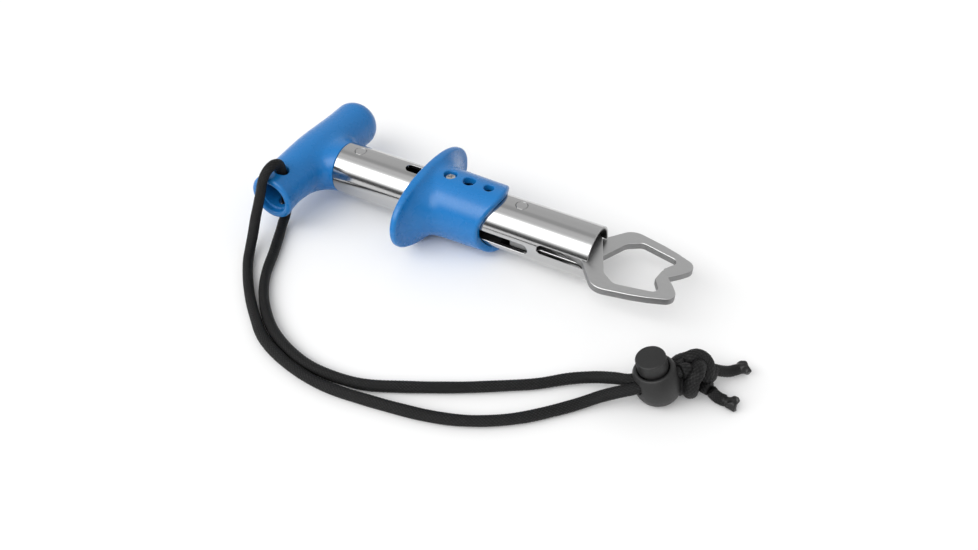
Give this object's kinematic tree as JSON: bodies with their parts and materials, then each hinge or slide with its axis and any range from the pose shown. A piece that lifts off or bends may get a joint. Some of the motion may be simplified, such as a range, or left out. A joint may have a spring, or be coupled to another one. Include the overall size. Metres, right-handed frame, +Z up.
{
  "type": "lip grip",
  "caption": "Hand-held fishing lip grip: a T-handled steel tube with two plate jaws that open when a finger collar is pulled back, and a cord lanyard with a lock.",
  "frame": {"origin": "on the surface it lies on, under the middle of the tool without its lanyard", "axes": "+X along the tube from the handle to the jaws, +Z up, the jaw plates level"},
  "size_m": [0.2122, 0.1343, 0.0337],
  "materials": {
    "blue_plastic": "satin moulded plastic",
    "polished_steel": "brushed along its length, nearly polished",
    "plain_steel": "plain machined or drawn steel",
    "jaw_steel": "tumbled, matt grey steel plate",
    "black_acetal": "matt machined plastic",
    "black_braid": "braided synthetic cord",
    "melted_cord": "melted and hardened cord end",
    "dark_plastic": "fine matt texture"
  },
  "bodies": {
    "frame": {"tube": "polished_steel", "handle": "blue_plastic", "handle_pin": "polished_steel", "spring_seat": "plain_steel", "return_spring": "plain_steel", "pivot_pin": "polished_steel", "upper_pivot_spacer": "plain_steel", "lower_pivot_spacer": "plain_steel", "outer_lanyard_strand": "black_braid", "inner_lanyard_strand": "black_braid", "lanyard_knot": "black_braid", "cord_lock_body": "dark_plastic", "cord_lock_spring": "plain_steel", "upper_cord_tail": "black_braid", "upper_cord_tip": "melted_cord", "lower_cord_tail": "black_braid", "lower_cord_tip": "melted_cord"},
    "collar": {"collar": "blue_plastic", "upper_collar_screw": "plain_steel", "lower_collar_screw": "plain_steel", "slider": "black_acetal", "drive_pin": "plain_steel"},
    "upper_jaw": {"upper_jaw": "jaw_steel"},
    "lower_jaw": {"lower_jaw": "jaw_steel"},
    "cord_lock_button": {"cord_lock_button": "dark_plastic"}
  },
  "joints": [
    {"name": "collar_slide", "type": "slide", "parent": "frame", "child": "collar", "axis": [-1, 0, 0], "range_m": [0, 0.012], "stiffness_N_per_m": 400, "springref_m": -0.02, "deforming": ["return_spring"]},
    {"name": "upper_jaw_hinge", "type": "hinge", "parent": "frame", "child": "upper_jaw", "pos_m": [0.0202, 0, 0.01805], "axis": [0, 0, -1], "range_deg": [0, 15]},
    {"name": "lower_jaw_hinge", "type": "hinge", "parent": "frame", "child": "lower_jaw", "pos_m": [0.0202, 0, 0.01475], "axis": [0, 0, 1], "range_deg": [0, 15]},
    {"name": "lock_button_press", "type": "slide", "parent": "frame", "child": "cord_lock_button", "axis": [0.279, 0.154, -0.9479], "range_m": [0, 0.002], "stiffness_N_per_m": 600, "springref_m": -0.002, "deforming": ["cord_lock_spring"]}
  ],
  "couplings": [
    {"joint": "upper_jaw_hinge", "follows": "collar_slide", "rad_per_m": 21.814},
    {"joint": "lower_jaw_hinge", "follows": "collar_slide", "rad_per_m": 21.814}
  ]
}
